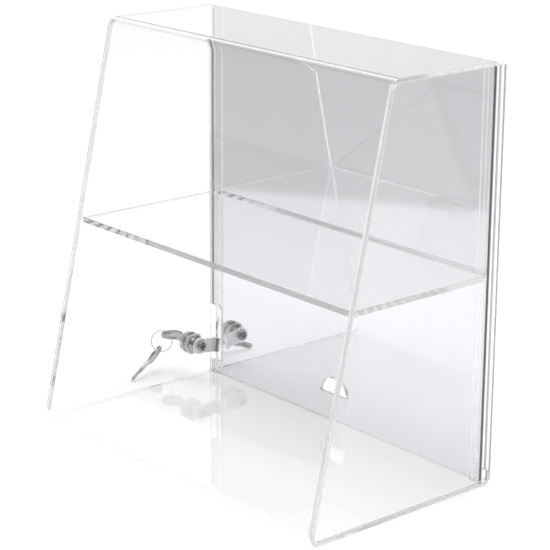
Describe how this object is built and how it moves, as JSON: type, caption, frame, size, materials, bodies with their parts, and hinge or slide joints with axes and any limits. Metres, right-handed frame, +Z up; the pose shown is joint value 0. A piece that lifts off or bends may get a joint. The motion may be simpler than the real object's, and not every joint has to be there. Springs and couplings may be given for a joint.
{
  "type": "countertop display case",
  "caption": "Slant-fronted clear acrylic countertop case with a fixed shelf, a lift-out mirror rear door and a side cam lock with keys.",
  "frame": {"origin": "middle of the case's footprint, on its underside", "axes": "+X to the side away from the lock, +Y to the rear door, +Z up"},
  "size_m": [0.4012, 0.1994, 0.356],
  "materials": {
    "clear_acrylic": "clear polished cast acrylic",
    "door_acrylic": "clear front of the mirror sheet",
    "mirror_coat": "silvered rear coat with its paint",
    "nickel_plate": "bright nickel plate",
    "zinc_plate": "zinc-plated steel",
    "brass": "plain brass",
    "spring_steel": "spring wire"
  },
  "bodies": {
    "case": {"wrap_sheet": "clear_acrylic", "left_side_panel": "clear_acrylic", "right_side_panel": "clear_acrylic", "shelf": "clear_acrylic", "left_front_strip": "clear_acrylic", "right_front_strip": "clear_acrylic", "left_rear_strip": "clear_acrylic", "right_rear_strip": "clear_acrylic", "lock_barrel": "nickel_plate", "lock_nut": "nickel_plate"},
    "door": {"mirror_door": "door_acrylic", "mirror_backing": "mirror_coat"},
    "lock_cylinder": {"lock_plug": "brass", "cam_plate": "zinc_plate", "cam_washer": "zinc_plate", "cam_screw": "nickel_plate", "wafer_1": "brass", "wafer_2": "brass", "wafer_3": "brass", "wafer_4": "brass", "wafer_spring_1": "spring_steel", "wafer_spring_2": "spring_steel", "wafer_spring_3": "spring_steel", "wafer_spring_4": "spring_steel"},
    "key": {"key_in_lock": "nickel_plate"},
    "ring": {"key_ring": "spring_steel"},
    "spare": {"spare_key": "nickel_plate"}
  },
  "joints": [
    {"name": "door_slide", "type": "slide", "parent": "case", "child": "door", "axis": [0, 0, 1], "range_m": [0, 0.35]},
    {"name": "lock_turn", "type": "hinge", "parent": "case", "child": "lock_cylinder", "pos_m": [-0.184, 0.0672, 0.0362], "axis": [-1, 0, 0], "range_deg": [0, 90]},
    {"name": "key_slide", "type": "slide", "parent": "lock_cylinder", "child": "key", "axis": [-1, 0, 0], "range_m": [0, 0.018]},
    {"name": "ring_swing", "type": "hinge", "parent": "key", "child": "ring", "pos_m": [-0.2137, 0.0672, 0.0365], "axis": [-0.648, -0.5042, 0.5708], "range_deg": [0, 10]},
    {"name": "spare_key_swing", "type": "hinge", "parent": "ring", "child": "spare", "pos_m": [-0.2161, 0.05712, 0.01966], "axis": [-0.6846, -0.6575, 0.3147], "range_deg": [0, 15]}
  ]
}
